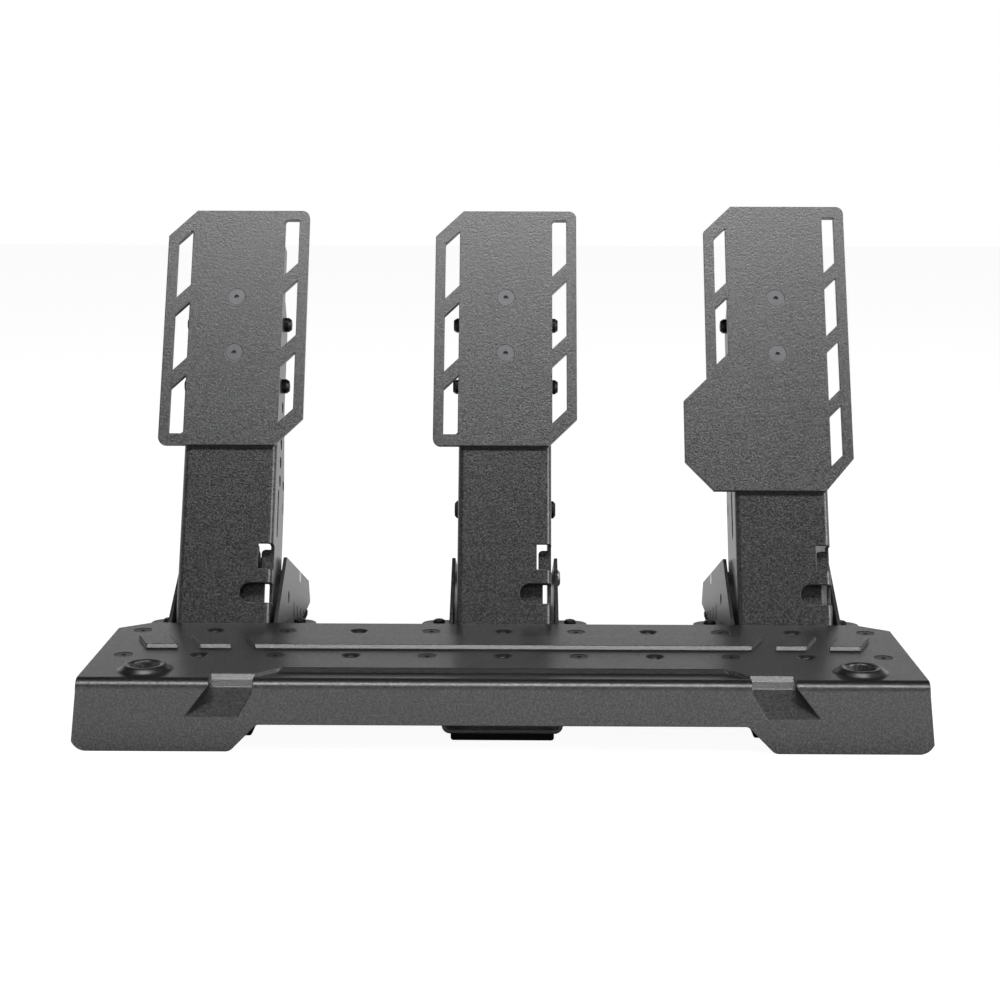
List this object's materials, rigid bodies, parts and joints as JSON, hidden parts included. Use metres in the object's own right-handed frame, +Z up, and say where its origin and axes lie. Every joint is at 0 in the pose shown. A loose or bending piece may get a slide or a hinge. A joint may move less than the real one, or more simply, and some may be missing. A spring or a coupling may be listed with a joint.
{
  "type": "pedal set",
  "caption": "Floor pedal set for a driving simulator: clutch, brake and throttle arms with perforated foot plates, sprung behind a bent steel heel plate.",
  "frame": {"origin": "centre of the bounding box's bottom face, on the floor", "axes": "+X to the driver's right, +Y away from the driver, +Z up"},
  "size_m": [0.4348, 0.31, 0.2672],
  "materials": {
    "powder_coat_grey": "satin fine texture",
    "powder_coat_dark": "satin fine texture",
    "black_steel": "black oxide",
    "plated_steel": "zinc plated",
    "magnet": "nickel plated",
    "rubber": "matte",
    "bronze": "sintered",
    "circuit_board": "solder mask",
    "black_plastic": "matte"
  },
  "bodies": {
    "base": {"heel_plate": "powder_coat_grey", "heel_plate_screws": "black_steel", "heel_plate_nuts": "plated_steel", "plate_spacers": "black_steel", "mounting_ears": "powder_coat_grey", "ear_rivets": "black_steel", "ear_screws": "black_steel", "ear_nuts": "plated_steel", "foot_pads": "rubber", "pivot_bushes": "bronze", "sensor_housings": "black_plastic", "sensor_boards": "circuit_board", "control_box": "black_plastic", "control_box_lid": "black_plastic", "control_board": "circuit_board", "data_socket": "plated_steel", "clutch_channel": "powder_coat_grey", "brake_channel": "powder_coat_grey", "throttle_channel": "powder_coat_grey"},
    "clutch_arm": {"clutch_arm": "powder_coat_dark", "clutch_pivot_shaft": "plated_steel", "clutch_plate_bracket": "powder_coat_dark", "clutch_foot_plate": "powder_coat_grey", "clutch_plate_screws": "black_steel", "clutch_side_bolts": "black_steel", "clutch_magnet": "magnet", "clutch_rod_pin": "black_steel"},
    "clutch_rod": {"clutch_spring_rod": "plated_steel", "clutch_return_spring": "black_steel", "clutch_bump_sleeve": "rubber", "clutch_rod_nut": "black_steel"},
    "clutch_trunnion": {"clutch_trunnion": "plated_steel"},
    "brake_arm": {"brake_arm": "powder_coat_dark", "brake_pivot_shaft": "plated_steel", "brake_plate_bracket": "powder_coat_dark", "brake_foot_plate": "powder_coat_grey", "brake_plate_screws": "black_steel", "brake_side_bolts": "black_steel", "brake_magnet": "magnet", "brake_rod_pin": "black_steel"},
    "brake_rod": {"brake_spring_rod": "plated_steel", "brake_rubber_rings": "rubber", "brake_ring_washers": "plated_steel", "brake_rod_nut": "black_steel"},
    "brake_trunnion": {"brake_load_cell": "plated_steel", "brake_trunnion": "plated_steel"},
    "throttle_arm": {"throttle_arm": "powder_coat_dark", "throttle_pivot_shaft": "plated_steel", "throttle_plate_bracket": "powder_coat_dark", "throttle_foot_plate": "powder_coat_grey", "throttle_plate_screws": "black_steel", "throttle_side_bolts": "black_steel", "throttle_magnet": "magnet", "throttle_rod_pin": "black_steel"},
    "throttle_rod": {"throttle_spring_rod": "plated_steel", "throttle_return_spring": "black_steel", "throttle_bump_sleeve": "rubber", "throttle_rod_nut": "black_steel"},
    "throttle_trunnion": {"throttle_trunnion": "plated_steel"}
  },
  "joints": [
    {"name": "clutch_pivot", "type": "hinge", "parent": "base", "child": "clutch_arm", "pos_m": [-0.16, 0.009, 0.0175], "axis": [-1, 0, 0], "range_deg": [0, 18], "stiffness_Nm_per_rad": 30, "springref_deg": -5.73, "deforming": ["clutch_return_spring"]},
    {"name": "clutch_rod_pivot", "type": "hinge", "parent": "clutch_arm", "child": "clutch_rod", "pos_m": [-0.16, 0.04525, 0.08885], "axis": [-1, 0, 0], "range_deg": [-13, 0]},
    {"name": "clutch_trunnion_pivot", "type": "hinge", "parent": "base", "child": "clutch_trunnion", "pos_m": [-0.16, 0.0973, 0.036], "axis": [-1, 0, 0], "range_deg": [0, 5.2]},
    {"name": "brake_pivot", "type": "hinge", "parent": "base", "child": "brake_arm", "pos_m": [0, 0.009, 0.0175], "axis": [-1, 0, 0], "range_deg": [0, 6], "stiffness_Nm_per_rad": 400, "springref_deg": -0.57, "deforming": ["brake_rubber_rings", "brake_ring_washers"]},
    {"name": "brake_rod_pivot", "type": "hinge", "parent": "brake_arm", "child": "brake_rod", "pos_m": [0, 0.04525, 0.08885], "axis": [-1, 0, 0], "range_deg": [-4.1, 0]},
    {"name": "brake_trunnion_pivot", "type": "hinge", "parent": "base", "child": "brake_trunnion", "pos_m": [0, 0.0973, 0.036], "axis": [-1, 0, 0], "range_deg": [0, 2.1]},
    {"name": "throttle_pivot", "type": "hinge", "parent": "base", "child": "throttle_arm", "pos_m": [0.16, 0.009, 0.0175], "axis": [-1, 0, 0], "range_deg": [0, 18], "stiffness_Nm_per_rad": 12, "springref_deg": -8.59, "deforming": ["throttle_return_spring"]},
    {"name": "throttle_rod_pivot", "type": "hinge", "parent": "throttle_arm", "child": "throttle_rod", "pos_m": [0.16, 0.04525, 0.08885], "axis": [-1, 0, 0], "range_deg": [-13, 0]},
    {"name": "throttle_trunnion_pivot", "type": "hinge", "parent": "base", "child": "throttle_trunnion", "pos_m": [0.16, 0.0973, 0.036], "axis": [-1, 0, 0], "range_deg": [0, 5.2]}
  ],
  "couplings": [
    {"joint": "clutch_rod_pivot", "follows": "clutch_pivot", "ratio": -0.717},
    {"joint": "clutch_trunnion_pivot", "follows": "clutch_pivot", "ratio": 0.283},
    {"joint": "brake_rod_pivot", "follows": "brake_pivot", "ratio": -0.673},
    {"joint": "brake_trunnion_pivot", "follows": "brake_pivot", "ratio": 0.327},
    {"joint": "throttle_rod_pivot", "follows": "throttle_pivot", "ratio": -0.717},
    {"joint": "throttle_trunnion_pivot", "follows": "throttle_pivot", "ratio": 0.283}
  ]
}
